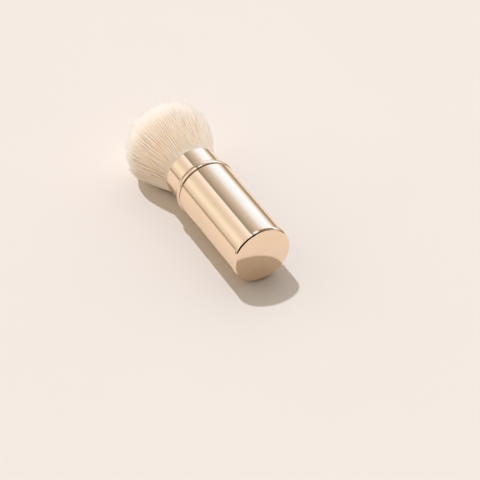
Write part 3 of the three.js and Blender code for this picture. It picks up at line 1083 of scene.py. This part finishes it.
# Far ahead it is dim on the left
left = t.span(y, -0.35, 0.05, 0.0, 1.0, smooth=True)
ahead = t.math("MULTIPLY", t.span(x, 0.76, 0.86, 0.0, 1.0, smooth=True), left)
strip = t.mix(ahead, strip, (0.30, 0.25, 0.19))
lamp = t.math("MULTIPLY", t.span(t.math("ABSOLUTE", y), 0.08, 0.17, 1.0, 0.0, smooth=True), t.span(z, 0.84, 0.90, 0.0, 1.0, smooth=True))
strip = t.mix(lamp, strip, (1.00, 1.16, 1.38))
# The dark room begins further back on the left than on the right
behind = t.math("SUBTRACT", x, t.span(y, 0.10, -0.50, 0.0, 0.50))
back = t.ramp(
    t.span(y, 0.75, -0.85),
    [(0.00, (0.09, 0.06, 0.04)), (0.25, (0.014, 0.009, 0.005)), (0.44, (0.014, 0.009, 0.005)), (0.71, (0.20, 0.155, 0.11)), (0.92, (0.50, 0.42, 0.34))],
)
mirrored = t.mix(t.span(behind, -0.78, -0.64, 0.0, 1.0, smooth=True), back, strip)
fill = t.ramp(
    turned_by,
    [
        (at / 180, colour)
        for at, colour in (
            (0, (1.38, 1.21, 0.96)),
            (40, (1.28, 1.13, 0.90)),
            (58, (1.12, 1.00, 0.82)),
            (78, (0.56, 0.51, 0.45)),
            (96, (0.58, 0.54, 0.49)),
            (115, (1.30, 1.21, 1.10)),
            (140, (1.45, 1.34, 1.22)),
            (165, (1.15, 1.06, 0.97)),
            (180, (1.00, 0.92, 0.85)),
        )
    ],
)
fill = t.mix(t.span(x, -0.65, 0.25, 1.0, 0.0, smooth=True), fill, (0.12, 0.11, 0.10), "MULTIPLY")
seen = t.node("ShaderNodeLightPath")
lit = t.node("ShaderNodeBackground")
t.link(t.mix(seen.outputs["Is Glossy Ray"], fill, mirrored), lit.inputs["Color"])
plain = t.node("ShaderNodeBackground")
plain.inputs["Color"].default_value = (0.88, 0.80, 0.74, 1)
pick = t.node("ShaderNodeMixShader")
t.link(seen.outputs["Is Camera Ray"], pick.inputs["Fac"])
t.link(lit.outputs["Background"], pick.inputs[1])
t.link(plain.outputs["Background"], pick.inputs[2])
out = t.node("ShaderNodeOutputWorld")
t.link(pick.outputs["Shader"], out.inputs["Surface"])

# Cards seen only in the metal: two low ones beside the brush draw the dark lines
# along both of its sides, a dark one stands in front of its base, and a brown
# strip hangs over the base on the right
CARDS = (
    ("card_left", (-150, 700), (183, 185), (0.0, 25.5), (0.52, 0.46, 0.38)),
    ("card_right", (-150, 700), (-122, -124), (0.0, 28.5), (0.42, 0.35, 0.27)),
    ("card_base", (-134, -132), (-20, 260), (0.0, 130.0), (0.014, 0.009, 0.005)),
    ("card_top", (-70, -47), (-52, -4), (55.0, 56.0), (0.28, 0.215, 0.15)),
)
for name, along_x, along_y, along_z, tone in CARDS:
    card_mat = bpy.data.materials.new(name)
    t = Tree(card_mat)
    mottle = t.noise(t.stretched((30, 30, 30)), 1.0, 2.0, 0.5)
    glow = t.node("ShaderNodeEmission")
    t.link(t.mix(t.span(mottle, 0.3, 0.7), tone, tuple(0.94 * c for c in tone)), glow.inputs["Color"])
    out = t.node("ShaderNodeOutputMaterial")
    t.link(glow.outputs["Emission"], out.inputs["Surface"])
    corners = np.array([(px, py, pz) for px in along_x for py in along_y for pz in along_z], float)
    sides = [(0, 1, 3, 2), (4, 6, 7, 5), (0, 4, 5, 1), (2, 3, 7, 6), (1, 5, 7, 3), (0, 2, 6, 4)]
    card = build_mesh(name, corners, sides, [], card_mat)
    card.visible_camera = card.visible_diffuse = card.visible_shadow = card.visible_transmission = False

cam_data = bpy.data.cameras.new("camera")
cam_data.sensor_width = 36.0
cam_data.sensor_fit = "HORIZONTAL"
cam_data.lens = 173.0575
cam_data.clip_start, cam_data.clip_end = 0.01, 50.0
cam = bpy.data.objects.new("camera", cam_data)
scene.collection.objects.link(cam)
right = Vector((-0.4725573902, -0.8809747073, 0.0239390506))
down = Vector((-0.5681067271, 0.2837428727, -0.7724925429))
forward = Vector((0.6737538569, -0.3786469957, -0.6345724490))
cam.matrix_world = Matrix.Translation(Vector((-0.765925, 0.412789, 0.700589))) @ Matrix(
    (right, -down, -forward)
).transposed().to_4x4()
scene.camera = cam

scene.view_settings.view_transform = "Standard"
scene.view_settings.look = "None"
scene.view_settings.exposure = 0.0
scene.view_settings.gamma = 1.0
